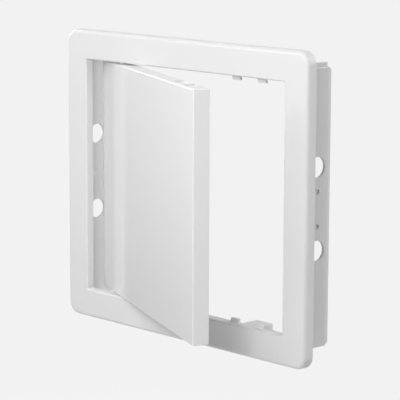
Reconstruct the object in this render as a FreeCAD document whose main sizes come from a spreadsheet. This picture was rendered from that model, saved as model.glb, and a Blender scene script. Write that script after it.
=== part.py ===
import FreeCAD, Part
import os

import Sketcher
from FreeCAD import Placement, Rotation, Vector

# Access panel: a moulded frame that fits in a wall or ceiling cut-out, and a door that turns in it on
# two pins. Millimetres, +Z up. The front faces -Y, and Y is 0 at the wall's surface. The origin is the
# centre of the cut-out at that surface.

# Driving sizes
SIZES = {
    # Opening, border and skirt
    "opening_width": 212.0,
    "opening_height": 181.5,
    "border_width": 22.5,
    "border_depth": 9.0,
    "border_plate": 2.5,
    "corner_radius": 11.0,
    "skirt_wall": 3.0,
    "sweep_inset": 0.6,
    "sweep_depth": 5.5,
    "front_round": 2.2,
    "side_round": 8.0,
    "opening_round": 1.4,
    # Reveal ring
    "reveal_depth": 6.8,
    "reveal_wall": 2.0,
    # Collar
    "collar_side_step": 13.6,
    "collar_end_step": 9.9,
    "collar_wall": 2.2,
    "collar_length": 26.2,
    "tip_inset": 1.6,
    "tip_length": 4.5,
    # Through holes and blind screw marks in the collar's side walls
    "hole_row": 12.0,
    "key_hole_radius": 7.5,
    "key_hole_spacing": 60.0,
    "screw_mark_radius": 2.0,
    "screw_mark_spacing": 25.0,
    "screw_mark_depth": 1.2,
    # Wedge ribs on top of the collar
    "rib_width": 2.5,
    "rib_height": 3.2,
    "rib_length": 21.0,
    # Lugs on the reveal, on each side of the catch box
    "catch_inset": 39.0,
    "lug_spacing": 25.6,
    "lug_width": 8.0,
    "lug_front": 3.6,
    "lug_thickness": 2.8,
    "lug_height": 3.7,
    # Catch box behind the reveal
    "box_width": 16.4,
    "box_rear": 23.0,
    "box_wall": 1.6,
    # Stop tab on the hinge side
    "tab_height": 5.4,
    "tab_reach": 3.4,
    # Hinge
    "hinge_inset": 37.3,
    "hinge_depth": 5.0,
    "pin_radius": 2.0,
    "pin_end_gap": 0.3,
    "pin_chamfer": 0.5,
    "bearing_clearance": 0.05,
    "bearing_wall": 2.5,
    "hub_wall": 2.2,
    "hub_length": 12.0,
    # Door
    "side_gap": 1.0,
    "end_gap": 1.2,
    "door_depth": 12.0,
    "door_face": 2.0,
    "door_wall": 2.0,
    "door_round": 1.2,
    "notch_clearance": 0.9,
    "notch_lip": 3.0,
    "snap_width": 9.0,
    "snap_height": 0.8,
    "snap_thickness": 2.4,
    "snap_setback": 0.8,
    "stiffener_wall": 1.6,
    "stiffener_height": 6.0,
    "stiffener_pitch": 57.0,
    # Rest pose
    "open_angle": 24.0,
}

# Sizes that follow from the driving ones, as formulas of the sheet
FORMULAS = {
    "half_opening_x": "opening_width / 2",
    "half_opening_z": "opening_height / 2",
    "half_border_x": "half_opening_x + border_width",
    "half_border_z": "half_opening_z + border_width",
    "half_collar_x": "half_opening_x + collar_side_step",
    "half_collar_z": "half_opening_z + collar_end_step",
    "hinge_x": "hinge_inset - half_opening_x",
    "hinge_y": "hinge_depth - border_depth",
    "bearing_radius": "pin_radius + bearing_clearance",
    "catch_x": "half_opening_x - catch_inset",
    "door_margin": "hinge_inset - side_gap",
    "door_reach": "opening_width - hinge_inset - side_gap",
    "half_door": "half_opening_z - end_gap",
    "door_front": "0 - hinge_depth",
    "door_rear": "door_depth - hinge_depth",
}


def make_sheet(doc):
    """Spreadsheet of all sizes, one row each, with the alias in use in column B."""
    sheet = doc.addObject("Spreadsheet::Sheet", "Sizes")
    cells = {name: str(value) for name, value in SIZES.items()}
    cells.update({name: "=" + formula for name, formula in FORMULAS.items()})
    for row, (name, content) in enumerate(cells.items(), start=1):
        sheet.set(f"A{row}", name)
        sheet.set(f"B{row}", content)
        sheet.setAlias(f"B{row}", name)
    doc.recompute()
    return sheet


doc = FreeCAD.newDocument("access_panel")
sheet = make_sheet(doc)


def sized(formula):
    """The formula with every size's name pointing at the sheet."""
    words = formula.replace("(", " ( ").replace(")", " ) ").split()
    names = list(SIZES) + list(FORMULAS)
    return " ".join("Sizes." + word if word in names else word for word in words)


def value(formula):
    """The formula's present value."""
    return float(sheet.evalExpression(sized(formula)))


def bind(feature, name, formula):
    """Ties a property of a feature to a formula of the sheet."""
    feature.setExpression(name, sized(formula))


def new_body(label):
    body = doc.addObject("PartDesign::Body", label)
    body.Label = label
    return body


def origin_feature(body, role):
    return next(item for item in body.Origin.OriginFeatures if item.Role == role)


def new_sketch(body, name, role, offset):
    """Sketch on an origin plane of the body, moved along the plane's normal by offset."""
    sketch = body.newObject("Sketcher::SketchObject", name)
    sketch.AttachmentSupport = [(origin_feature(body, role), "")]
    sketch.MapMode = "FlatFace"
    bind(sketch, "AttachmentOffset.Base.z", offset)
    return sketch


def place_point(sketch, line, end, x, y):
    """Puts one end of a line at formulas x and y from the sketch's origin."""
    for kind, formula in (("DistanceX", x), ("DistanceY", y)):
        index = sketch.addConstraint(Sketcher.Constraint(kind, -1, 1, line, end, value(formula)))
        bind(sketch, f"Constraints[{index}]", formula)


def polygon(sketch, points):
    """Closed outline of straight lines through points given as formulas."""
    corners = [Vector(value(x), value(y), 0) for x, y in points]
    first = sketch.GeometryCount
    count = len(points)
    for index in range(count):
        sketch.addGeometry(Part.LineSegment(corners[index], corners[(index + 1) % count]), False)
    for index in range(count):
        after = first + (index + 1) % count
        sketch.addConstraint(Sketcher.Constraint("Coincident", first + index, 2, after, 1))
    for index, (x, y) in enumerate(points):
        place_point(sketch, first + index, 1, x, y)


def rectangle(sketch, left, right, low, high):
    polygon(sketch, [(left, low), (right, low), (right, high), (left, high)])


def centred_rectangle(sketch, half_x, half_y):
    rectangle(sketch, f"0 - ( {half_x} )", half_x, f"0 - ( {half_y} )", half_y)


def circle(sketch, x, y, radius):
    index = sketch.addGeometry(Part.Circle(Vector(value(x), value(y), 0), Vector(0, 0, 1), value(radius)), False)
    place_point(sketch, index, 3, x, y)
    size = sketch.addConstraint(Sketcher.Constraint("Radius", index, value(radius)))
    bind(sketch, f"Constraints[{size}]", radius)


def pad(body, name, sketch, length, reverse=False):
    """Solid raised from the sketch along its normal, or against it."""
    feature = body.newObject("PartDesign::Pad", name)
    feature.Profile = sketch
    feature.Reversed = reverse
    bind(feature, "Length", length)
    doc.recompute()
    return feature


def pocket(body, name, sketch, length, along_normal=False):
    """Cut from the sketch against its normal, or along it."""
    feature = body.newObject("PartDesign::Pocket", name)
    feature.Profile = sketch
    feature.Reversed = along_normal
    bind(feature, "Length", length)
    doc.recompute()
    return feature


def mirror(body, name, features, role):
    """Repeats features on the other side of an origin plane."""
    feature = body.newObject("PartDesign::Mirrored", name)
    feature.Originals = features
    feature.MirrorPlane = (origin_feature(body, role), [""])
    body.Tip = feature
    doc.recompute()
    return feature


def edges_of(feature, wanted):
    """Names of the feature's edges whose two ends and middle all pass the test."""
    names = []
    for index, edge in enumerate(feature.Shape.Edges, start=1):
        middle = edge.valueAt((edge.FirstParameter + edge.LastParameter) / 2)
        points = [vertex.Point for vertex in edge.Vertexes] + [middle]
        if all(wanted(point) for point in points):
            names.append(f"Edge{index}")
    return names


def fillet(body, name, base, wanted, radius):
    feature = body.newObject("PartDesign::Fillet", name)
    feature.Base = (base, edges_of(base, wanted))
    bind(feature, "Radius", radius)
    doc.recompute()
    return feature


def chamfer(body, name, base, wanted, size, size2, flip):
    """Bevel with its own distance on each of the two faces."""
    feature = body.newObject("PartDesign::Chamfer", name)
    feature.Base = (base, edges_of(base, wanted))
    feature.ChamferType = "Two distances"
    feature.FlipDirection = flip
    bind(feature, "Size", size)
    bind(feature, "Size2", size2)
    doc.recompute()
    return feature


def near(number, formula):
    return abs(number - value(formula)) < 0.01


def make_border(body):
    """Front border: a thin shell with a skirt, whose outer edge sweeps back to the wall."""
    outline = new_sketch(body, "BorderOutline", "XZ_Plane", "0")
    centred_rectangle(outline, "half_border_x", "half_border_z")
    pad(body, "BorderBlock", outline, "border_depth")

    inside = new_sketch(body, "HollowOutline", "XZ_Plane", "0")
    centred_rectangle(inside, "half_border_x - skirt_wall", "half_border_z - skirt_wall")
    hollow = pocket(body, "Hollow", inside, "border_depth - border_plate", along_normal=True)

    def at_inner_corner(point):
        return (near(abs(point.x), "half_border_x - skirt_wall")
                and near(abs(point.z), "half_border_z - skirt_wall"))

    inner = fillet(body, "HollowCorners", hollow, at_inner_corner, "corner_radius - skirt_wall")

    def at_outer_corner(point):
        return near(abs(point.x), "half_border_x") and near(abs(point.z), "half_border_z")

    outer = fillet(body, "BorderCorners", inner, at_outer_corner, "corner_radius")

    def at_front(point):
        return near(point.y, "0 - border_depth")

    sweep = chamfer(body, "BorderSweep", outer, at_front, "sweep_inset", "sweep_depth", True)
    front = fillet(body, "BorderFrontRound", sweep, at_front, "front_round")

    def at_side(point):
        outside = abs(point.x) > value("half_border_x - corner_radius") or \
            abs(point.z) > value("half_border_z - corner_radius")
        return outside and near(point.y, "sweep_depth - border_depth")

    fillet(body, "BorderSideRound", front, at_side, "side_round")


def make_ring(body, name, half_x, half_z, wall, start, end):
    """Wall round a rectangular hole, between two depths measured back from the border's front."""
    outline = new_sketch(body, name + "Outline", "XZ_Plane", f"border_depth - ( {start} )")
    centred_rectangle(outline, f"{half_x} + {wall}", f"{half_z} + {wall}")
    centred_rectangle(outline, half_x, half_z)
    return pad(body, name, outline, f"{end} - ( {start} )", reverse=True)


def make_opening(body):
    """Opening through the border, with a reveal ring behind it and an eased front edge."""
    outline = new_sketch(body, "OpeningOutline", "XZ_Plane", "0")
    centred_rectangle(outline, "half_opening_x", "half_opening_z")
    pocket(body, "Opening", outline, "border_depth", along_normal=True)
    reveal = make_ring(body, "Reveal", "half_opening_x", "half_opening_z", "reveal_wall", "0", "reveal_depth")

    def at_opening_edge(point):
        inside = abs(point.x) < value("half_opening_x + 0.1") and abs(point.z) < value("half_opening_z + 0.1")
        return inside and near(point.y, "0 - border_depth")

    fillet(body, "OpeningRound", reveal, at_opening_edge, "opening_round")


def make_collar(body):
    """Collar that goes into the cut-out: four walls with a tapered tip, key holes and screw marks."""
    collar = make_ring(body, "Collar", "half_collar_x - collar_wall", "half_collar_z - collar_wall",
                       "collar_wall", "border_plate", "border_depth + collar_length")

    def at_rear_edge(point):
        on_side = near(abs(point.x), "half_collar_x") or near(abs(point.z), "half_collar_z")
        return on_side and near(point.y, "collar_length")

    chamfer(body, "CollarTip", collar, at_rear_edge, "tip_inset", "tip_length", False)

    holes = new_sketch(body, "KeyHoleOutline", "YZ_Plane", "0 - half_collar_x - 1")
    circle(holes, "hole_row", "key_hole_spacing / 2", "key_hole_radius")
    circle(holes, "hole_row", "0 - key_hole_spacing / 2", "key_hole_radius")
    pocket(body, "KeyHoles", holes, "2 * half_collar_x + 2", along_normal=True)
    for side, offset in (("Right", "half_collar_x"), ("Left", "0 - half_collar_x")):
        marks = new_sketch(body, f"ScrewMark{side}Outline", "YZ_Plane", offset)
        circle(marks, "hole_row", "screw_mark_spacing / 2", "screw_mark_radius")
        circle(marks, "hole_row", "0 - screw_mark_spacing / 2", "screw_mark_radius")
        pocket(body, f"ScrewMarks{side}", marks, "screw_mark_depth", along_normal=side == "Left")


def make_wedge_ribs(body):
    """Two ribs along the ends of the collar's top, which wedge it in the cut-out."""
    outline = new_sketch(body, "WedgeRibOutline", "XZ_Plane", "border_depth - border_plate")
    low = "half_collar_z - collar_wall / 2"
    high = "half_collar_z + rib_height"
    rectangle(outline, "half_collar_x - rib_width", "half_collar_x", low, high)
    rectangle(outline, "0 - half_collar_x", "rib_width - half_collar_x", low, high)
    pad(body, "WedgeRibs", outline, "border_depth - border_plate + rib_length", reverse=True)


def make_lugs(body):
    """Two lugs that hang from the reveal on each side of the catch box."""
    outline = new_sketch(body, "LugOutline", "XZ_Plane", "border_depth - lug_front")
    for middle in ("catch_x - lug_spacing / 2", "catch_x + lug_spacing / 2"):
        rectangle(outline, f"{middle} - lug_width / 2", f"{middle} + lug_width / 2",
                  "half_opening_z - lug_height", "half_opening_z + reveal_wall / 2")
    return pad(body, "Lugs", outline, "lug_thickness", reverse=True)


def make_catch_box(body):
    """Box behind the reveal, level with it and open to the rear."""
    outline = new_sketch(body, "CatchBoxOutline", "XZ_Plane", "border_depth - reveal_depth + reveal_wall")
    rectangle(outline, "catch_x - box_width / 2", "catch_x + box_width / 2",
              "half_opening_z", "half_collar_z - collar_wall / 2")
    box = pad(body, "CatchBox", outline, "box_rear - reveal_depth + reveal_wall", reverse=True)
    inside = new_sketch(body, "CatchBoxInside", "XZ_Plane", "border_depth - reveal_depth")
    rectangle(inside, "catch_x - box_width / 2 + box_wall", "catch_x + box_width / 2 - box_wall",
              "half_opening_z + box_wall", "half_collar_z - collar_wall")
    return [box, pocket(body, "CatchBoxHollow", inside, "box_rear - reveal_depth")]


def make_bearing(body):
    """Boss between the reveal and the collar, bored for a hinge pin."""
    outline = new_sketch(body, "BearingOutline", "XY_Plane", "half_opening_z")
    circle(outline, "hinge_x", "hinge_y", "bearing_radius + bearing_wall")
    boss = pad(body, "Bearing", outline, "half_collar_z - collar_wall / 2 - half_opening_z")
    bore = new_sketch(body, "BearingBoreOutline", "XY_Plane", "half_opening_z")
    circle(bore, "hinge_x", "hinge_y", "bearing_radius")
    return [boss, pocket(body, "BearingBore", bore, "half_collar_z - half_opening_z", along_normal=True)]


def make_stop_tab(body):
    """Small pointed tab on the rear edge of the reveal, half-way up the hinge side."""
    outline = new_sketch(body, "StopTabOutline", "YZ_Plane", "0 - half_opening_x - reveal_wall")
    rear = "reveal_depth - border_depth"
    polygon(outline, [(f"{rear} - 1", "0 - tab_height / 2"), (rear, "0 - tab_height / 2"),
                      (f"{rear} + tab_reach", "0"), (rear, "tab_height / 2"), (f"{rear} - 1", "tab_height / 2")])
    pad(body, "StopTab", outline, "reveal_wall")


def make_frame():
    body = new_body("frame")
    make_border(body)
    make_opening(body)
    make_collar(body)
    make_wedge_ribs(body)
    make_stop_tab(body)
    repeated = [make_lugs(body)] + make_catch_box(body) + make_bearing(body)
    mirror(body, "LowerEnd", repeated, "XY_Plane")
    return body


def make_door_shell(body):
    """Flat front with returns on all four sides, open behind. The hinge axis is the body's Z axis."""
    outline = new_sketch(body, "DoorOutline", "XZ_Plane", "0 - door_front")
    rectangle(outline, "0 - door_margin", "door_reach", "0 - half_door", "half_door")
    block = pad(body, "DoorBlock", outline, "door_depth", reverse=True)

    def at_front(point):
        return near(point.y, "door_front")

    fillet(body, "DoorRound", block, at_front, "door_round")
    inside = new_sketch(body, "DoorInside", "XZ_Plane", "0 - door_rear")
    rectangle(inside, "door_wall - door_margin", "door_reach - door_wall",
              "door_wall - half_door", "half_door - door_wall")
    pocket(body, "DoorHollow", inside, "door_depth - door_face", along_normal=True)


def make_stiffeners(body):
    """Ribs on the back of the door's front: one across its width and two from top to bottom."""
    outline = new_sketch(body, "StiffenerOutline", "XZ_Plane", "0 - door_front - door_face / 2")
    rectangle(outline, "door_wall / 2 - door_margin", "door_reach - door_wall / 2",
              "0 - stiffener_wall / 2", "stiffener_wall / 2")
    across = pad(body, "StiffenerAcross", outline, "stiffener_height + door_face / 2", reverse=True)
    for index, middle in enumerate(("stiffener_pitch", "2 * stiffener_pitch"), start=1):
        upright = new_sketch(body, f"StiffenerOutline{index}", "XZ_Plane", "0 - door_front - door_face / 2")
        rectangle(upright, f"{middle} - stiffener_wall / 2", f"{middle} + stiffener_wall / 2",
                  "door_wall / 2 - half_door", "half_door - door_wall / 2")
        across = pad(body, f"StiffenerUpright{index}", upright, "stiffener_height + door_face / 2", reverse=True)
    return across


def make_hub(body):
    """Hub inside the top return, bored to grip the hinge pin."""
    outline = new_sketch(body, "HubOutline", "XY_Plane", "half_door - door_wall / 2")
    circle(outline, "0", "0", "pin_radius + hub_wall")
    hub = pad(body, "Hub", outline, "hub_length - door_wall / 2", reverse=True)
    bore = new_sketch(body, "HubBoreOutline", "XY_Plane", "half_door")
    circle(bore, "0", "0", "pin_radius")
    return [hub, pocket(body, "HubBore", bore, "hub_length")]


def make_notches(body):
    """Notches in the top return, open to the rear, that clear the frame's lugs."""
    outline = new_sketch(body, "NotchOutline", "XY_Plane", "half_door")
    front = "door_front + notch_lip"
    for middle in ("catch_x - lug_spacing / 2 - hinge_x", "catch_x + lug_spacing / 2 - hinge_x"):
        half = "lug_width / 2 + notch_clearance"
        rectangle(outline, f"{middle} - ( {half} )", f"{middle} + {half}", front, "door_rear + 1")
    return pocket(body, "Notches", outline, "door_wall + 0.5")


def make_snap_rib(body):
    """Low rib on the top return that meets the catch box as the door closes."""
    outline = new_sketch(body, "SnapRibOutline", "XY_Plane", "half_door - door_wall / 2")
    middle = "catch_x - hinge_x"
    rear = "door_rear - snap_setback"
    rectangle(outline, f"{middle} - snap_width / 2", f"{middle} + snap_width / 2",
              f"{rear} - snap_thickness", rear)
    return pad(body, "SnapRib", outline, "door_wall / 2 + snap_height")


def hang(body):
    """Puts a piece modelled round the hinge axis in its place, turned to the rest pose."""
    body.Placement = Placement(Vector(0, 0, 0), Rotation(Vector(0, 0, -1), 1))
    bind(body, "Placement.Base.x", "hinge_x")
    bind(body, "Placement.Base.y", "hinge_y")
    bind(body, "Placement.Rotation.Angle", "open_angle")


def make_door():
    body = new_body("door")
    make_door_shell(body)
    make_stiffeners(body)
    repeated = make_hub(body) + [make_notches(body), make_snap_rib(body)]
    mirror(body, "LowerDoorEnd", repeated, "XY_Plane")
    hang(body)
    return body


def make_pin(label, side):
    """Hinge pin with bevelled ends, from the bottom of the door's hub into the frame's bearing."""
    body = new_body(label)
    outline = new_sketch(body, "PinOutline", "XZ_Plane", "0")
    inner = f"{side} * ( half_door - hub_length )"
    outer = f"{side} * ( half_collar_z - collar_wall - pin_end_gap )"
    bevel = f"{side} * pin_chamfer"
    polygon(outline, [("0", inner), ("pin_radius - pin_chamfer", inner), ("pin_radius", f"{inner} + {bevel}"),
                      ("pin_radius", f"{outer} - {bevel}"), ("pin_radius - pin_chamfer", outer), ("0", outer)])
    turned = body.newObject("PartDesign::Revolution", "Pin")
    turned.Profile = outline
    turned.ReferenceAxis = (outline, ["V_Axis"])
    turned.Angle = 360
    doc.recompute()
    hang(body)
    return body


pieces = [make_frame(), make_door(), make_pin("hinge_pin_upper", "1"), make_pin("hinge_pin_lower", "-1")]
doc.recompute()

for item in doc.Objects:
    faults = [word for word in item.State if word in ("Invalid", "Error")]
    if faults:
        raise RuntimeError(f"{item.Label} did not build: {faults}")
for piece in pieces:
    if piece.Shape.isNull() or not piece.Shape.isValid():
        raise RuntimeError(f"{piece.Label} has no valid shape")

os.makedirs("parts", exist_ok=True)
for piece in pieces:
    piece.Shape.exportStep(os.path.join("parts", piece.Label + ".step"))
    print(piece.Label, len(piece.Shape.Solids), round(piece.Shape.Volume, 1))
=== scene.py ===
import math

import bmesh
import bpy
import numpy as np
from mathutils import Matrix, Vector


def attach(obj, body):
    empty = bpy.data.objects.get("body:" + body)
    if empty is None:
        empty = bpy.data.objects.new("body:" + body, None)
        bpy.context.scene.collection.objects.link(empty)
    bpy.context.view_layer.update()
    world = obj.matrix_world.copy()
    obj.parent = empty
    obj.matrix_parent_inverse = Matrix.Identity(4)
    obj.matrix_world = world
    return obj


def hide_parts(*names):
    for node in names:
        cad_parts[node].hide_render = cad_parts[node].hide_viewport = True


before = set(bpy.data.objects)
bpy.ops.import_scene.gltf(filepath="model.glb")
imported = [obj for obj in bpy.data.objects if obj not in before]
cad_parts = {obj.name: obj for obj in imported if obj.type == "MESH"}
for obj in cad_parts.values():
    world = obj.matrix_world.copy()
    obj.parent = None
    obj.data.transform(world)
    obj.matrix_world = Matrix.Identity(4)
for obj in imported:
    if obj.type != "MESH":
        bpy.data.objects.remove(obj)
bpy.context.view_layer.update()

# Camera: it stands to the right of the panel and a little above it, and looks back at the opened door
# from where the catalogue picture was taken. The object is about a metre and a half away.
yaw = math.radians(46.154)
pitch = math.radians(9.846)
roll = math.radians(0.214)
distance = 1.441688
aim = Vector((0.021745, -0.009, -0.003338))
focal_pixels = 1963.588
picture_pixels = 400.0
forward = Vector((-math.sin(yaw) * math.cos(pitch), math.cos(yaw) * math.cos(pitch), -math.sin(pitch)))
level_right = Vector((math.cos(yaw), math.sin(yaw), 0.0))
level_up = level_right.cross(forward)
right = math.cos(roll) * level_right + math.sin(roll) * level_up
up = math.cos(roll) * level_up - math.sin(roll) * level_right
camera_data = bpy.data.cameras.new("camera")
camera_data.sensor_width = 36.0
camera_data.lens = focal_pixels * camera_data.sensor_width / picture_pixels
camera_data.clip_start = 0.05
camera = bpy.data.objects.new("camera", camera_data)
camera.matrix_world = (Matrix.Translation(aim - distance * forward)
                       @ Matrix((right, up, -forward)).transposed().to_4x4())
bpy.context.scene.collection.objects.link(camera)
bpy.context.scene.camera = camera
bpy.context.scene.view_settings.view_transform = "Standard"

# Floor: one plain pale sheet, below the panel as it would hang in its wall. Far off it has the same
# even tone as the room, and below the panel it is lit too, so that the panel's shadow stays on it.
floor_height = -0.42
floor_reach = 6.0
floor_matt_tone = (0.75, 0.75, 0.75, 1.0)
backdrop_tone = (0.887, 0.887, 0.887, 1.0)
floor_even_share = 0.5
floor_even_strength = 1.36
shadow_reach = 0.75
shadow_fade = 0.35
floor_mesh = bpy.data.meshes.new("studio_floor")
floor_mesh.from_pydata([(-floor_reach, -floor_reach, floor_height), (floor_reach, -floor_reach, floor_height),
                        (floor_reach, floor_reach, floor_height), (-floor_reach, floor_reach, floor_height)],
                       [], [(0, 1, 2, 3)])
floor = bpy.data.objects.new("studio_floor", floor_mesh)
bpy.context.scene.collection.objects.link(floor)


def backdrop_rays(tree):
    """A node output that is 1 for rays from the camera, from gloss and through glass, and 0 for others."""
    rays = tree.nodes.new("ShaderNodeLightPath")
    either = tree.nodes.new("ShaderNodeMath")
    either.operation = "MAXIMUM"
    any_of_three = tree.nodes.new("ShaderNodeMath")
    any_of_three.operation = "MAXIMUM"
    tree.links.new(rays.outputs["Is Camera Ray"], either.inputs[0])
    tree.links.new(rays.outputs["Is Glossy Ray"], either.inputs[1])
    tree.links.new(either.outputs[0], any_of_three.inputs[0])
    tree.links.new(rays.outputs["Is Transmission Ray"], any_of_three.inputs[1])
    return any_of_three.outputs[0]


floor_paint = bpy.data.materials.new("studio_floor_paint")
floor_paint.use_nodes = True
paint = floor_paint.node_tree
paint.nodes.clear()
paint_out = paint.nodes.new("ShaderNodeOutputMaterial")
paint_mix = paint.nodes.new("ShaderNodeMixShader")
paint_matt = paint.nodes.new("ShaderNodeBsdfDiffuse")
paint_matt.inputs["Color"].default_value = floor_matt_tone
paint_even = paint.nodes.new("ShaderNodeEmission")
paint_even.inputs["Color"].default_value = backdrop_tone
paint_place = paint.nodes.new("ShaderNodeTexCoord")
paint_reach = paint.nodes.new("ShaderNodeVectorMath")
paint_reach.operation = "LENGTH"
paint.links.new(paint_place.outputs["Object"], paint_reach.inputs[0])


def from_near_to_far(near_value, far_value):
    """A value that eases from near the panel's foot, where its shadow falls, to the far floor."""
    ease = paint.nodes.new("ShaderNodeMapRange")
    ease.interpolation_type = "SMOOTHSTEP"
    ease.inputs["From Min"].default_value = shadow_reach
    ease.inputs["From Max"].default_value = shadow_reach + shadow_fade
    ease.inputs["To Min"].default_value = near_value
    ease.inputs["To Max"].default_value = far_value
    paint.links.new(paint_reach.outputs["Value"], ease.inputs["Value"])
    return ease.outputs[0]


paint_share = paint.nodes.new("ShaderNodeMath")
paint_share.operation = "MULTIPLY"
paint.links.new(backdrop_rays(paint), paint_share.inputs[0])
paint.links.new(from_near_to_far(floor_even_share, 1.0), paint_share.inputs[1])
paint.links.new(from_near_to_far(floor_even_strength, 1.0), paint_even.inputs["Strength"])
paint.links.new(paint_share.outputs[0], paint_mix.inputs[0])
paint.links.new(paint_matt.outputs[0], paint_mix.inputs[1])
paint.links.new(paint_even.outputs[0], paint_mix.inputs[2])
paint.links.new(paint_mix.outputs[0], paint_out.inputs[0])
floor_mesh.materials.append(floor_paint)

# Light: a pale room that is bright to look at and lights the panel only a little, and soft square lamps
# in front, above and behind, as in a small picture studio. Two small lamps stand near the panel.
room_light = 0.1
room_seen = 1.0
world = bpy.data.worlds.new("studio_room")
bpy.context.scene.world = world
world.use_nodes = True
room = world.node_tree.nodes["Background"]
room.inputs["Color"].default_value = backdrop_tone
room_level = world.node_tree.nodes.new("ShaderNodeMapRange")
room_level.inputs["To Min"].default_value = room_light
room_level.inputs["To Max"].default_value = room_seen
world.node_tree.links.new(backdrop_rays(world.node_tree), room_level.inputs["Value"])
world.node_tree.links.new(room_level.outputs[0], room.inputs["Strength"])


def soft_lamp(name, azimuth, elevation, reach, width, power):
    """Square lamp that faces the panel's middle from reach away: azimuth in degrees, 0 straight in front
    and growing to the right, elevation in degrees, width in metres and power in watts."""
    side = math.radians(azimuth)
    rise = math.radians(elevation)
    towards = Vector((math.sin(side) * math.cos(rise), -math.cos(side) * math.cos(rise), math.sin(rise)))
    place = reach * towards
    lamp_data = bpy.data.lights.new(name, "AREA")
    lamp_data.shape = "SQUARE"
    lamp_data.size = width
    lamp_data.energy = power
    lamp = bpy.data.objects.new(name, lamp_data)
    lamp.matrix_world = Matrix.Translation(place) @ (-place).to_track_quat("-Z", "Y").to_matrix().to_4x4()
    lamp.visible_camera = False
    bpy.context.scene.collection.objects.link(lamp)


far_reach = 1.5
far_width = 0.9
near_width = 0.2
soft_lamp("high_front_lamp", 0, 45, far_reach, far_width, 7.2)
soft_lamp("top_lamp", 0, 85, far_reach, far_width, 2.1)
soft_lamp("key_lamp", 30, 30, far_reach, far_width, 3.9)
soft_lamp("left_lamp", -90, 20, far_reach, far_width, 6.7)
soft_lamp("back_lamp", 135, 30, far_reach, far_width, 9.9)
soft_lamp("near_right_lamp", 29, 17, 0.572, near_width, 0.98)
soft_lamp("near_left_lamp", -34, 25, 0.596, near_width, 0.60)

# Card: a glowing sheet of the studio, left of the panel and out of the picture, that stands in for a lit
# grey board. Its glow is painted light, weaker at its foot than at its top. Only gloss shows it: the
# door's polished front mirrors it beyond the frame's edge.
card_x = -0.8
card_front = -0.5
card_rear = 0.45
card_foot = -0.40
card_top = 0.10
card_dark_height = -0.30
card_dark = 0.05
card_bright_height = 0.02
card_bright = 0.55
card_mesh = bpy.data.meshes.new("studio_card")
card_mesh.from_pydata([(card_x, card_front, card_foot), (card_x, card_rear, card_foot),
                       (card_x, card_rear, card_top), (card_x, card_front, card_top)],
                      [], [(0, 1, 2, 3)])
card = bpy.data.objects.new("studio_card", card_mesh)
bpy.context.scene.collection.objects.link(card)
card.visible_camera = False
card.visible_diffuse = False
card.visible_shadow = False
card_paint = bpy.data.materials.new("studio_card_paint")
card_paint.use_nodes = True
card_nodes = card_paint.node_tree.nodes
card_links = card_paint.node_tree.links
card_nodes.clear()
card_out = card_nodes.new("ShaderNodeOutputMaterial")
# Painted light: the card glows instead of being lit, more strongly towards its top.
card_glow = card_nodes.new("ShaderNodeEmission")
card_place = card_nodes.new("ShaderNodeTexCoord")
card_axes = card_nodes.new("ShaderNodeSeparateXYZ")
card_rise = card_nodes.new("ShaderNodeMapRange")
card_rise.inputs["From Min"].default_value = card_dark_height
card_rise.inputs["From Max"].default_value = card_bright_height
card_rise.inputs["To Min"].default_value = card_dark
card_rise.inputs["To Max"].default_value = card_bright
card_links.new(card_place.outputs["Object"], card_axes.inputs[0])
card_links.new(card_axes.outputs["Z"], card_rise.inputs["Value"])
card_links.new(card_rise.outputs[0], card_glow.inputs["Strength"])
card_links.new(card_glow.outputs[0], card_out.inputs[0])
card_mesh.materials.append(card_paint)

# Frame: one moulding of white plastic. Its front is a flat border with a rounded rim, a short reveal
# lines the opening, and a collar with a tapered tip goes back into the cut-out. One section runs round
# all four sides, with the collar further in at the top and at the bottom.
MM = 0.001
border_half_x = 128.5 * MM
border_half_z = 113.25 * MM
opening_half_z = 90.75 * MM
edge_steps = 6
corner_steps = 8
merge_reach = 0.002 * MM
# Each row: inset from the outside left and right, and top and bottom, depth, edge round, corner radius
frame_section = np.array([
    (0.0, 0.0, 0.0, 0.5, 10.0),
    (0.0, 0.2, -9.0, 3.0, 10.0),
    (22.5, 22.5, -9.0, 1.4, 0.5),
    (22.5, 22.5, -2.2, 0.35, 0.5),
    (20.5, 20.5, -2.2, 0.35, 0.6),
    (20.5, 20.5, -6.5, 0.4, 0.6),
    (11.1, 14.4, -6.5, 0.6, 0.8),
    (11.1, 14.7, 26.2, 0.2, 0.8),
    (10.5, 14.2, 26.2, 0.2, 1.0),
    (8.9, 12.6, 21.7, 1.5, 1.0),
    (8.9, 12.6, -6.5, 0.6, 1.0),
    (3.0, 3.0, -6.5, 0.8, 8.0),
    (3.0, 3.0, 0.0, 0.5, 8.0),
]) * MM


def rounded_corners(points, rounds, steps):
    """Closed outline with each corner replaced by an arc. The arc touches both sides at the same
    distance from the corner, round / tan(half the angle between them), and its points are the two
    touching points' directions from its centre, weighted by the sines of the turned angle."""
    before = np.roll(points, 1, axis=0) - points
    after = np.roll(points, -1, axis=0) - points
    before /= np.linalg.norm(before, axis=1, keepdims=True)
    after /= np.linalg.norm(after, axis=1, keepdims=True)
    half_angle = np.arccos(np.clip((before * after).sum(axis=1), -1.0, 1.0)) / 2
    bisector = before + after
    bisector /= np.linalg.norm(bisector, axis=1, keepdims=True)
    centre = points + bisector * (rounds / np.sin(half_angle))[:, None]
    touch = (rounds / np.tan(half_angle))[:, None]
    first = points + before * touch - centre
    last = points + after * touch - centre
    turn = (math.pi - 2 * half_angle)[:, None, None]
    share = np.linspace(0.0, 1.0, steps + 1)[None, :, None]
    arcs = (np.sin((1 - share) * turn) * first[:, None] + np.sin(share * turn) * last[:, None]) / np.sin(turn)
    return (centre[:, None] + arcs).reshape(-1, 2)


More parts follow.
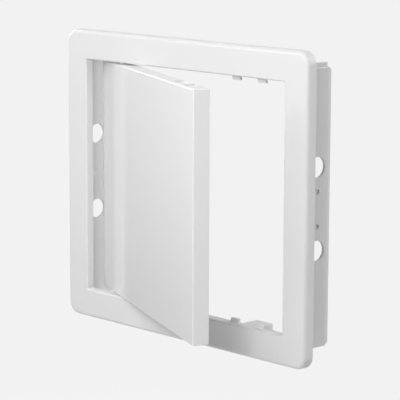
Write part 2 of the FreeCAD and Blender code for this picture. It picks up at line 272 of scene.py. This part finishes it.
def carried_round(inset_x, inset_z, depth, corner, half_x, half_z, steps):
    """Grid of points of a section carried round a rectangle. At each section point the rectangle is
    half_x and half_z less the insets, its corners are arcs of the given radius, and depth is Y."""
    quarter = np.linspace(0.0, math.pi / 2, steps + 1)
    angle = np.concatenate([quarter + quadrant * math.pi / 2 for quadrant in range(4)])
    sign_x = np.repeat([1.0, -1.0, -1.0, 1.0], steps + 1)
    sign_z = np.repeat([1.0, 1.0, -1.0, -1.0], steps + 1)
    x = sign_x * (half_x - inset_x - corner)[:, None] + corner[:, None] * np.cos(angle)
    z = sign_z * (half_z - inset_z - corner)[:, None] + corner[:, None] * np.sin(angle)
    return np.stack([x, np.broadcast_to(depth[:, None], x.shape), z], axis=-1)


def grid_faces(rows, columns, rows_closed):
    """Quads of a grid whose columns close into a ring, with its rows closed too or capped at both ends."""
    last_row = rows if rows_closed else rows - 1
    row, column = np.meshgrid(np.arange(last_row), np.arange(columns), indexing="ij")
    next_row = (row + 1) % rows
    next_column = (column + 1) % columns
    quads = np.stack([row * columns + column, row * columns + next_column,
                      next_row * columns + next_column, next_row * columns + column], axis=-1)
    faces = quads.reshape(-1, 4).tolist()
    if not rows_closed:
        faces.append(list(range(columns)))
        faces.append(list(range((rows - 1) * columns, rows * columns)))
    return faces


def clean_mesh(name, shape):
    """Mesh of a shape, with doubled points merged and its faces turned outwards."""
    points, faces = shape
    mesh = bpy.data.meshes.new(name)
    mesh.from_pydata(points.tolist(), [], faces)
    work = bmesh.new()
    work.from_mesh(mesh)
    bmesh.ops.remove_doubles(work, verts=work.verts, dist=merge_reach)
    bmesh.ops.dissolve_degenerate(work, edges=work.edges, dist=merge_reach)
    bmesh.ops.recalc_face_normals(work, faces=work.faces)
    work.to_mesh(mesh)
    work.free()
    return mesh


def moulded_piece(name, shape, plastic, body, cutter=None, edge_bevel=0.0):
    """Piece of the object from a shape. A cutter's room is taken out of it, the edges that are left
    sharp get a small bevel, and the normals lean on the large faces so that flat areas stay flat."""
    piece = bpy.data.objects.new(name, clean_mesh(name, shape))
    bpy.context.scene.collection.objects.link(piece)
    if cutter is not None:
        tool = bpy.data.objects.new(name + "_tool", clean_mesh(name + "_tool", cutter))
        bpy.context.scene.collection.objects.link(tool)
        cut = piece.modifiers.new("cut", "BOOLEAN")
        cut.operation = "DIFFERENCE"
        cut.solver = "EXACT"
        cut.object = tool
        shown = piece.evaluated_get(bpy.context.evaluated_depsgraph_get())
        cut_mesh = bpy.data.meshes.new_from_object(shown)
        piece.modifiers.clear()
        piece.data = cut_mesh
        cut_mesh.name = name
        bpy.data.objects.remove(tool)
    if edge_bevel > 0:
        bevel = piece.modifiers.new("soft_edges", "BEVEL")
        bevel.width = edge_bevel
        bevel.segments = 2
        bevel.limit_method = "ANGLE"
        bevel.angle_limit = math.radians(50)
    piece.data.shade_smooth()
    lean = piece.modifiers.new("flat_faces", "WEIGHTED_NORMAL")
    lean.weight = 80
    piece.data.materials.clear()
    piece.data.materials.append(plastic)
    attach(piece, body)
    return piece


def polished_plastic(name, colour, polish, core_depth, depth_axis=(0.0, 1.0, 0.0)):
    """Moulded white plastic. Its colour drifts by a percent or two, its surface has a faint flow ripple
    and a finer grain, and it is glossier on the polished side than behind core_depth along depth_axis."""
    colour_drift = 0.015
    core_roughness = 0.46
    core_blend = 0.2 * MM
    roughness_drift = 0.03
    material = bpy.data.materials.new(name)
    material.use_nodes = True
    tree = material.node_tree
    shader = tree.nodes["Principled BSDF"]
    place = tree.nodes.new("ShaderNodeTexCoord").outputs["Object"]

    def noise(scale, detail):
        node = tree.nodes.new("ShaderNodeTexNoise")
        node.inputs["Scale"].default_value = scale
        node.inputs["Detail"].default_value = detail
        tree.links.new(place, node.inputs["Vector"])
        return node.outputs["Fac"]

    drift = tree.nodes.new("ShaderNodeMix")
    drift.data_type = "RGBA"
    drift.inputs["A"].default_value = (*[(1 - colour_drift) * part for part in colour], 1.0)
    drift.inputs["B"].default_value = (*[(1 + colour_drift) * part for part in colour], 1.0)
    tree.links.new(noise(scale=14.0, detail=2.0), drift.inputs["Factor"])
    tree.links.new(drift.outputs["Result"], shader.inputs["Base Color"])

    depth = tree.nodes.new("ShaderNodeVectorMath")
    depth.operation = "DOT_PRODUCT"
    depth.inputs[1].default_value = depth_axis
    tree.links.new(place, depth.inputs[0])
    core = tree.nodes.new("ShaderNodeMapRange")
    core.inputs["From Min"].default_value = core_depth - core_blend
    core.inputs["From Max"].default_value = core_depth + core_blend
    core.inputs["To Min"].default_value = polish
    core.inputs["To Max"].default_value = core_roughness
    tree.links.new(depth.outputs["Value"], core.inputs["Value"])
    smear = tree.nodes.new("ShaderNodeMapRange")
    smear.inputs["To Min"].default_value = -roughness_drift
    smear.inputs["To Max"].default_value = roughness_drift
    tree.links.new(noise(scale=60.0, detail=3.0), smear.inputs["Value"])
    roughness = tree.nodes.new("ShaderNodeMath")
    tree.links.new(core.outputs[0], roughness.inputs[0])
    tree.links.new(smear.outputs[0], roughness.inputs[1])
    tree.links.new(roughness.outputs[0], shader.inputs["Roughness"])

    ripple = tree.nodes.new("ShaderNodeBump")
    ripple.inputs["Strength"].default_value = 0.5
    ripple.inputs["Distance"].default_value = 0.02 * MM
    tree.links.new(noise(scale=80.0, detail=1.0), ripple.inputs["Height"])
    grain = tree.nodes.new("ShaderNodeBump")
    grain.inputs["Strength"].default_value = 0.4
    grain.inputs["Distance"].default_value = 0.004 * MM
    tree.links.new(noise(scale=2400.0, detail=2.0), grain.inputs["Height"])
    tree.links.new(ripple.outputs[0], grain.inputs["Normal"])
    tree.links.new(grain.outputs[0], shader.inputs["Normal"])
    return material


frame_colour = (0.80, 0.80, 0.80)
frame_polish = 0.30
frame_core = -6.4 * MM
frame_plastic = polished_plastic("frame_plastic", frame_colour, frame_polish, frame_core)
section_x = rounded_corners(frame_section[:, [0, 2]], frame_section[:, 3], edge_steps)
section_z = rounded_corners(frame_section[:, [1, 2]], frame_section[:, 3], edge_steps)
# Along one rounded edge the arcs at a corner of the panel share a centre, so the edge is as wide there
section_corner = np.repeat(frame_section[:, 0] + frame_section[:, 4], edge_steps + 1) - section_x[:, 0]
frame_grid = carried_round(section_x[:, 0], section_z[:, 0], section_x[:, 1], section_corner,
                           border_half_x, border_half_z, corner_steps)
frame_rows, frame_columns = frame_grid.shape[:2]
frame_shape = frame_grid.reshape(-1, 3), grid_faces(frame_rows, frame_columns, True)

# Room taken out of the frame: two key holes and two blind screw marks in each side wall, a bore for the
# hinge pin above and below the opening, and the tips of the collar's top and bottom walls, which stop
# short of its side walls.
collar_outside_x = 119.6 * MM
collar_inside_x = 117.4 * MM
hole_row = 12.0 * MM
key_hole_radius = 7.5 * MM
key_hole_height = 30.0 * MM
mark_radius = 2.0 * MM
mark_height = 12.5 * MM
mark_depth = 1.2 * MM
hinge_x = -68.7 * MM
hinge_y = -4.0 * MM
bearing_radius = 2.05 * MM
collar_outside_z = 100.65 * MM
clear = 1.0 * MM
tip_cut_x = 117.0 * MM
tip_cut_front = 22.2 * MM
tip_cut_rear = 28.0 * MM
tip_cut_inside_z = 97.0 * MM
tip_cut_outside_z = 103.0 * MM
tip_cut_edge = 0.2 * MM
small_hole_steps = 24


def round_bar(axis, centre, radius, low, high, steps=48):
    """Closed cylinder along X or Z: a circle of the radius round the centre, at two places on the axis."""
    angle = np.linspace(0.0, 2 * math.pi, steps, endpoint=False)
    across = [centre[0] + radius * np.cos(angle), centre[1] + radius * np.sin(angle)]
    ends = []
    for place in (low, high):
        along = [np.full(steps, place)]
        ends.append(np.stack(along + across if axis == "X" else across + along, axis=-1))
    return np.concatenate(ends), grid_faces(2, steps, False)


def soft_block(low, high, edge, steps=4):
    """Box with rounded edges: its outline carried from low to high Y, with the outline's corners and
    the first and last turn of the section as quarter arcs of the edge's radius."""
    low = np.array(low)
    high = np.array(high)
    centre = (low + high) / 2
    half = (high - low) / 2
    turn = np.linspace(0.0, math.pi / 2, steps + 1)
    inset = np.concatenate([edge * (1 - np.sin(turn)), edge * (1 - np.cos(turn))])
    depth = np.concatenate([-half[1] + edge * (1 - np.cos(turn)), half[1] - edge * (1 - np.sin(turn))])
    corner = np.maximum(edge - inset, 0.1 * edge)
    grid = carried_round(inset, inset, depth, corner, half[0], half[2], steps)
    return (grid + centre).reshape(-1, 3), grid_faces(grid.shape[0], grid.shape[1], False)


def both_ends(shape):
    """The shape and its mirror image below the middle."""
    points, faces = shape
    return [shape, (points * (1.0, 1.0, -1.0), faces)]


def joined(shapes):
    """Several (points, faces) shapes as one, with each one's faces counting on from the last one's points."""
    starts = np.cumsum([0] + [len(points) for points, faces in shapes])
    faces = [[start + index for index in face] for start, shape in zip(starts, shapes) for face in shape[1]]
    return np.concatenate([points for points, _ in shapes]), faces


frame_cuts = both_ends(soft_block((-tip_cut_x, tip_cut_front, tip_cut_inside_z),
                                  (tip_cut_x, tip_cut_rear, tip_cut_outside_z), tip_cut_edge))
for side in (-1, 1):
    for up_down in (-1, 1):
        through = sorted((side * (collar_inside_x - clear), side * (collar_outside_x + clear)))
        frame_cuts.append(round_bar("X", (hole_row, up_down * key_hole_height), key_hole_radius, *through))
        blind = sorted((side * (collar_outside_x - mark_depth), side * (collar_outside_x + clear)))
        frame_cuts.append(round_bar("X", (hole_row, up_down * mark_height), mark_radius, *blind,
                                    steps=small_hole_steps))
for up_down in (-1, 1):
    bore = sorted((up_down * (opening_half_z - clear), up_down * (collar_outside_z + clear)))
    frame_cuts.append(round_bar("Z", (hinge_x, hinge_y), bearing_radius, *bore, steps=small_hole_steps))
frame_shell = moulded_piece("frame_shell", frame_shape, frame_plastic, "frame",
                            cutter=joined(frame_cuts), edge_bevel=0.18 * MM)
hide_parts("frame")

# Wedge ribs: two thin ribs on the collar's upper corners, moulded with the frame. They wedge the collar
# in its cut-out.
block_edge = 0.4 * MM
rib_inside_x = 116.9 * MM
rib_outside_x = 119.2 * MM
rib_front = -6.5 * MM
rib_rear = 21.0 * MM
rib_foot_z = 99.4 * MM
rib_top_z = 103.85 * MM
right_rib = soft_block((rib_inside_x, rib_front, rib_foot_z),
                       (rib_outside_x, rib_rear, rib_top_z), block_edge)
left_rib = soft_block((-rib_outside_x, rib_front, rib_foot_z),
                      (-rib_inside_x, rib_rear, rib_top_z), block_edge)
moulded_piece("frame_wedge_ribs", joined([right_rib, left_rib]), frame_plastic, "frame")

# Lugs: four small tabs inside the opening, moulded with the frame, one on each side of either catch box.
# The shut door's notches pass over them. Each leans back a little towards its tip.
catch_x = 67.0 * MM
lug_offset = 12.8 * MM
lug_half = 3.9 * MM
lug_front = -5.4 * MM
lug_rear = -2.9 * MM
lug_tip_z = 87.5 * MM
lug_root_z = 91.7 * MM
lug_lean = 0.28
lugs = []
for middle in (catch_x - lug_offset, catch_x + lug_offset):
    lug_points, lug_faces = soft_block((middle - lug_half, lug_front, lug_tip_z),
                                       (middle + lug_half, lug_rear, lug_root_z), block_edge)
    lug_points[:, 1] += lug_lean * (opening_half_z - lug_points[:, 2])
    lugs += both_ends((lug_points, lug_faces))
moulded_piece("frame_lugs", joined(lugs), frame_plastic, "frame")

# Catch boxes: one above and one below the opening, moulded with the frame. Each is a thin box that is
# open to the rear, and the shut door's snap rib clicks behind it.
catch_half_x = 8.2 * MM
catch_inside_z = 90.8 * MM
catch_outside_z = 99.55 * MM
catch_front = -4.2 * MM
catch_floor = -2.2 * MM
catch_rear = 14.0 * MM
catch_wall = 1.6 * MM
catch_round = 0.35 * MM
catch_corner = 0.5 * MM
catch_steps = 4


def open_tray(centre, half_x, half_z, section, rounds, corner, round_steps, turn_steps):
    """Box open to the rear: a wall's section, as inset and depth, carried round a rectangle. The section
    starts and ends on the box's closed front, outside and inside, where a flat face fills what is left."""
    soft = rounded_corners(section, rounds, round_steps).reshape(len(section), round_steps + 1, 2)
    profile = np.concatenate([soft[0, :1], soft[1:-1].reshape(-1, 2), soft[-1, :1]])
    inset = profile[:, 0]
    grid = carried_round(inset, inset, profile[:, 1], np.full(len(inset), corner), half_x, half_z, turn_steps)
    grid = grid + np.array([centre[0], 0.0, centre[1]])
    return grid.reshape(-1, 3), grid_faces(grid.shape[0], grid.shape[1], False)


catch_half_z = (catch_outside_z - catch_inside_z) / 2
catch_centre = (catch_x, (catch_outside_z + catch_inside_z) / 2)
catch_end_outside = 0.7 * catch_half_z
catch_end_inside = 0.9 * catch_half_z
catch_section = np.array([
    (catch_end_outside, catch_front),
    (0.0, catch_front),
    (0.0, catch_rear),
    (catch_wall, catch_rear),
    (catch_wall, catch_floor),
    (catch_end_inside, catch_floor),
])
catch_rounds = catch_round * np.array([0.0, 1.0, 1.0, 1.0, 0.8, 0.0])
catch_box = open_tray(catch_centre, catch_half_x, catch_half_z, catch_section, catch_rounds, catch_corner,
                      catch_steps, catch_steps)
moulded_piece("frame_catch_boxes", joined(both_ends(catch_box)), frame_plastic, "frame")

# Bearings: a short thick ring round the bore above and below the opening, moulded with the frame. The
# hinge pins turn in them.
bearing_outside = 4.55 * MM
bearing_inside_z = 91.2 * MM
bearing_outside_z = 99.0 * MM


def turned(centre, radii, heights, section_closed, steps=32):
    """Shape turned about Z: each section point is a circle of its radius at its height. The section
    closes into a ring, or a flat face closes each end."""
    angle = np.linspace(0.0, 2 * math.pi, steps, endpoint=False)
    radii = np.array(radii)[:, None]
    x = centre[0] + radii * np.cos(angle)
    y = centre[1] + radii * np.sin(angle)
    z = np.broadcast_to(np.array(heights)[:, None], x.shape)
    grid = np.stack([x, y, z], axis=-1)
    return grid.reshape(-1, 3), grid_faces(grid.shape[0], steps, section_closed)


bearing = turned((hinge_x, hinge_y), (bearing_radius, bearing_outside, bearing_outside, bearing_radius),
                 (bearing_inside_z, bearing_inside_z, bearing_outside_z, bearing_outside_z), True)
moulded_piece("frame_bearings", joined(both_ends(bearing)), frame_plastic, "frame")

# Stop tab: a small blunt wedge in the middle of the reveal's hinge side, moulded with the frame. It points
# to the rear.
tab_left = -108.0 * MM
tab_right = -106.05 * MM
# Each row: depth and height. The outline is drawn at the tab's left and at its right.
tab_outline = np.array([
    (-3.2, -2.5),
    (-2.2, -2.5),
    (0.7, -0.1),
    (1.0, 0.3),
    (0.7, 0.7),
    (-2.2, 3.6),
    (-3.2, 3.6),
]) * MM
tab_points = np.concatenate([np.insert(tab_outline, 0, side, axis=1) for side in (tab_left, tab_right)])
moulded_piece("frame_stop_tab", (tab_points, grid_faces(2, len(tab_outline), False)), frame_plastic,
              "frame", edge_bevel=0.25 * MM)

# Door: a second moulding of the same plastic, with a polished flat front and returns on all four sides.
# It is drawn in its own axes from the hinge line, then turned to the half-open place in which it rests.
# Notches in its returns leave room for the frame's lugs, and a bore at each end for a hinge pin.
rest_angle = math.radians(24.0)
door_axis_x = np.array([math.cos(rest_angle), -math.sin(rest_angle), 0.0])
door_axis_y = np.array([math.sin(rest_angle), math.cos(rest_angle), 0.0])
door_axis_z = np.array([0.0, 0.0, 1.0])
door_colour = (0.84, 0.84, 0.84)
door_polish = 0.10
door_core = -4.4 * MM
hinge_depth = float(np.dot(door_axis_y, (hinge_x, hinge_y, 0.0)))
door_plastic = polished_plastic("door_plastic", door_colour, door_polish, hinge_depth + door_core,
                                tuple(door_axis_y))
door_centre_x = -hinge_x
door_half_x = 105.0 * MM
door_half_z = 89.55 * MM
door_front = -5.0 * MM
door_floor = -3.0 * MM
door_rear = 7.0 * MM
door_wall = 2.0 * MM
door_corner = 0.6 * MM
door_end_outside = 8.0 * MM
door_end_inside = 10.0 * MM
notch_half = 4.9 * MM
notch_front = -2.0 * MM
notch_rear = 9.0 * MM
notch_inside_z = 87.05 * MM
notch_outside_z = 91.0 * MM
notch_edge = 0.3 * MM
bore_inside_z = 86.0 * MM


def hung(shape):
    """The shape turned about the hinge line from the door's own axes to the rest place."""
    points, faces = shape
    placed = points[:, 0:1] * door_axis_x + points[:, 1:2] * door_axis_y + points[:, 2:3] * door_axis_z
    return placed + np.array([hinge_x, hinge_y, 0.0]), faces


door_section = np.array([
    (door_end_outside, door_front),
    (0.0, door_front),
    (0.0, door_rear),
    (door_wall, door_rear),
    (door_wall, door_floor),
    (door_end_inside, door_floor),
])
door_rounds = np.array([0.0, 0.8, 0.4, 0.4, 0.6, 0.0]) * MM
door_tray = open_tray((door_centre_x, 0.0), door_half_x, door_half_z, door_section, door_rounds, door_corner,
                      edge_steps, corner_steps)
door_cuts = []
for middle in (catch_x - lug_offset - hinge_x, catch_x + lug_offset - hinge_x):
    door_cuts += both_ends(soft_block((middle - notch_half, notch_front, notch_inside_z),
                                      (middle + notch_half, notch_rear, notch_outside_z), notch_edge))
door_cuts += both_ends(round_bar("Z", (0.0, 0.0), bearing_radius, bore_inside_z, notch_outside_z,
                                 steps=small_hole_steps))
door_shell = moulded_piece("door_shell", hung(door_tray), door_plastic, "door",
                           cutter=hung(joined(door_cuts)), edge_bevel=0.15 * MM)
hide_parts("door")

# Stiffeners: thin ribs on the back of the door's front, moulded with it, one across and two upright. They
# keep the front flat.
stiffener_half = 0.8 * MM
stiffener_front = -4.0 * MM
stiffener_rear = 3.0 * MM
stiffener_reach_x = 104.0 * MM
stiffener_reach_z = 88.6 * MM
stiffener_pitch = 57.0 * MM
stiffener_edge = 0.3 * MM
stiffeners = [soft_block((door_centre_x - stiffener_reach_x, stiffener_front, -stiffener_half),
                         (door_centre_x + stiffener_reach_x, stiffener_rear, stiffener_half), stiffener_edge)]
for middle in (stiffener_pitch, 2 * stiffener_pitch):
    low = (middle - stiffener_half, stiffener_front, -stiffener_reach_z)
    high = (middle + stiffener_half, stiffener_rear, stiffener_reach_z)
    stiffeners.append(soft_block(low, high, stiffener_edge))
moulded_piece("door_stiffeners", hung(joined(stiffeners)), door_plastic, "door")

# Hubs: a tube at the top and at the bottom of the door's back, moulded with it, in which a hinge pin is
# pressed. The tube's inner end has a small bevel.
hub_bore = 2.02 * MM
hub_radius = 4.2 * MM
hub_bevel = 0.3 * MM
hub_inside_z = 77.55 * MM
hub_outside_z = 88.6 * MM
hub = turned((0.0, 0.0), (hub_bore, hub_radius - hub_bevel, hub_radius, hub_radius, hub_bore),
             (hub_inside_z, hub_inside_z, hub_inside_z + hub_bevel, hub_outside_z, hub_outside_z), True)
moulded_piece("door_hubs", hung(joined(both_ends(hub))), door_plastic, "door")

# Snap ribs: one low rib on the door's upper and lower return, moulded with it. It meets the catch box as
# the door shuts.
snap_middle = catch_x - hinge_x
snap_half = 4.5 * MM
snap_front = 3.8 * MM
snap_rear = 6.2 * MM
snap_foot_z = 88.6 * MM
snap_top_z = 90.35 * MM
snap_edge = 0.5 * MM
snap_rib = soft_block((snap_middle - snap_half, snap_front, snap_foot_z),
                      (snap_middle + snap_half, snap_rear, snap_top_z), snap_edge)
moulded_piece("door_snap_ribs", hung(joined(both_ends(snap_rib))), door_plastic, "door")

# Hinge pins: two turned pins of the same white plastic with bevelled ends, pressed in the door's hubs.
# They turn in the frame's bearings.
pin_radius = 2.0 * MM
pin_bevel = 0.5 * MM
pin_inside_z = 77.55 * MM
pin_outside_z = 98.15 * MM
pin_end = pin_radius - pin_bevel
pin_shape = turned((hinge_x, hinge_y), (pin_end, pin_radius, pin_radius, pin_end),
                   (pin_inside_z, pin_inside_z + pin_bevel, pin_outside_z - pin_bevel, pin_outside_z), False)
for name, shape in zip(("hinge_pin_upper", "hinge_pin_lower"), both_ends(pin_shape)):
    pin = moulded_piece(name + "_turned", shape, frame_plastic, "door")
    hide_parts(name)
